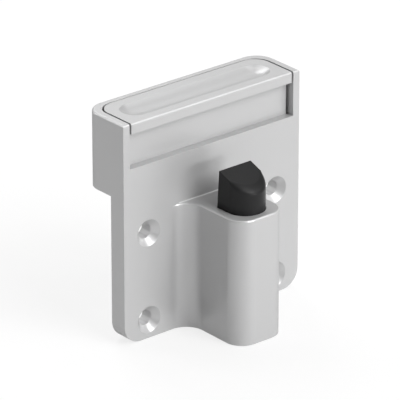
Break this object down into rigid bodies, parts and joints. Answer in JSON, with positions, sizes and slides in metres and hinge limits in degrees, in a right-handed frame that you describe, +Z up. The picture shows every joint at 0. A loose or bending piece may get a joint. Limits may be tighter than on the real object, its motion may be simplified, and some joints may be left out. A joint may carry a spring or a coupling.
{
  "type": "touch latch",
  "caption": "Touch latch with screw plate, push bar and sloped slam bolt; pressing the bar down draws the bolt down and frees a door or lid.",
  "frame": {"origin": "middle of the four screw holes, on the rear face of the plate", "axes": "+Y to the rear, out of the mounting face; +Z up towards the touch bar; the boss and the bolt are on the -Y side"},
  "size_m": [0.0652, 0.0405, 0.0682],
  "materials": {
    "cast_steel": "satin, bead blasted casting",
    "bar_steel": "satin",
    "sheet_steel": "fine brushed sheet",
    "bright_steel": "turned",
    "spring_steel": "drawn wire",
    "black_plastic": "satin moulded",
    "white_plastic": "moulded acetal",
    "rubber": "matt"
  },
  "bodies": {
    "fixed_housing": {"housing": "cast_steel", "back_cover": "sheet_steel", "cover_screws": "bright_steel", "bolt_guide": "white_plastic", "spring_cup_left": "black_plastic", "spring_cup_right": "black_plastic", "buffer_left": "rubber", "buffer_right": "rubber", "glide_left": "white_plastic", "glide_right": "white_plastic", "return_spring_left": "spring_steel", "return_spring_right": "spring_steel"},
    "moving_bar": {"touch_bar": "bar_steel", "slide_plate": "sheet_steel", "bolt_carrier": "sheet_steel", "bar_screws": "bright_steel", "carrier_rivets": "bright_steel", "spring_post": "black_plastic", "stop_pads": "rubber", "bolt_spring": "spring_steel"},
    "moving_bolt": {"latch_bolt": "black_plastic", "cross_pin": "bright_steel"}
  },
  "joints": [
    {"name": "bar_press", "type": "slide", "parent": "fixed_housing", "child": "moving_bar", "axis": [0, 0, -1], "range_m": [0, 0.01], "stiffness_N_per_m": 800, "springref_m": -0.005, "deforming": ["return_spring_left", "return_spring_right"]},
    {"name": "bolt_slam", "type": "slide", "parent": "moving_bar", "child": "moving_bolt", "axis": [0, 0, -1], "range_m": [0, 0.0105], "stiffness_N_per_m": 300, "springref_m": -0.012, "deforming": ["bolt_spring"]}
  ]
}
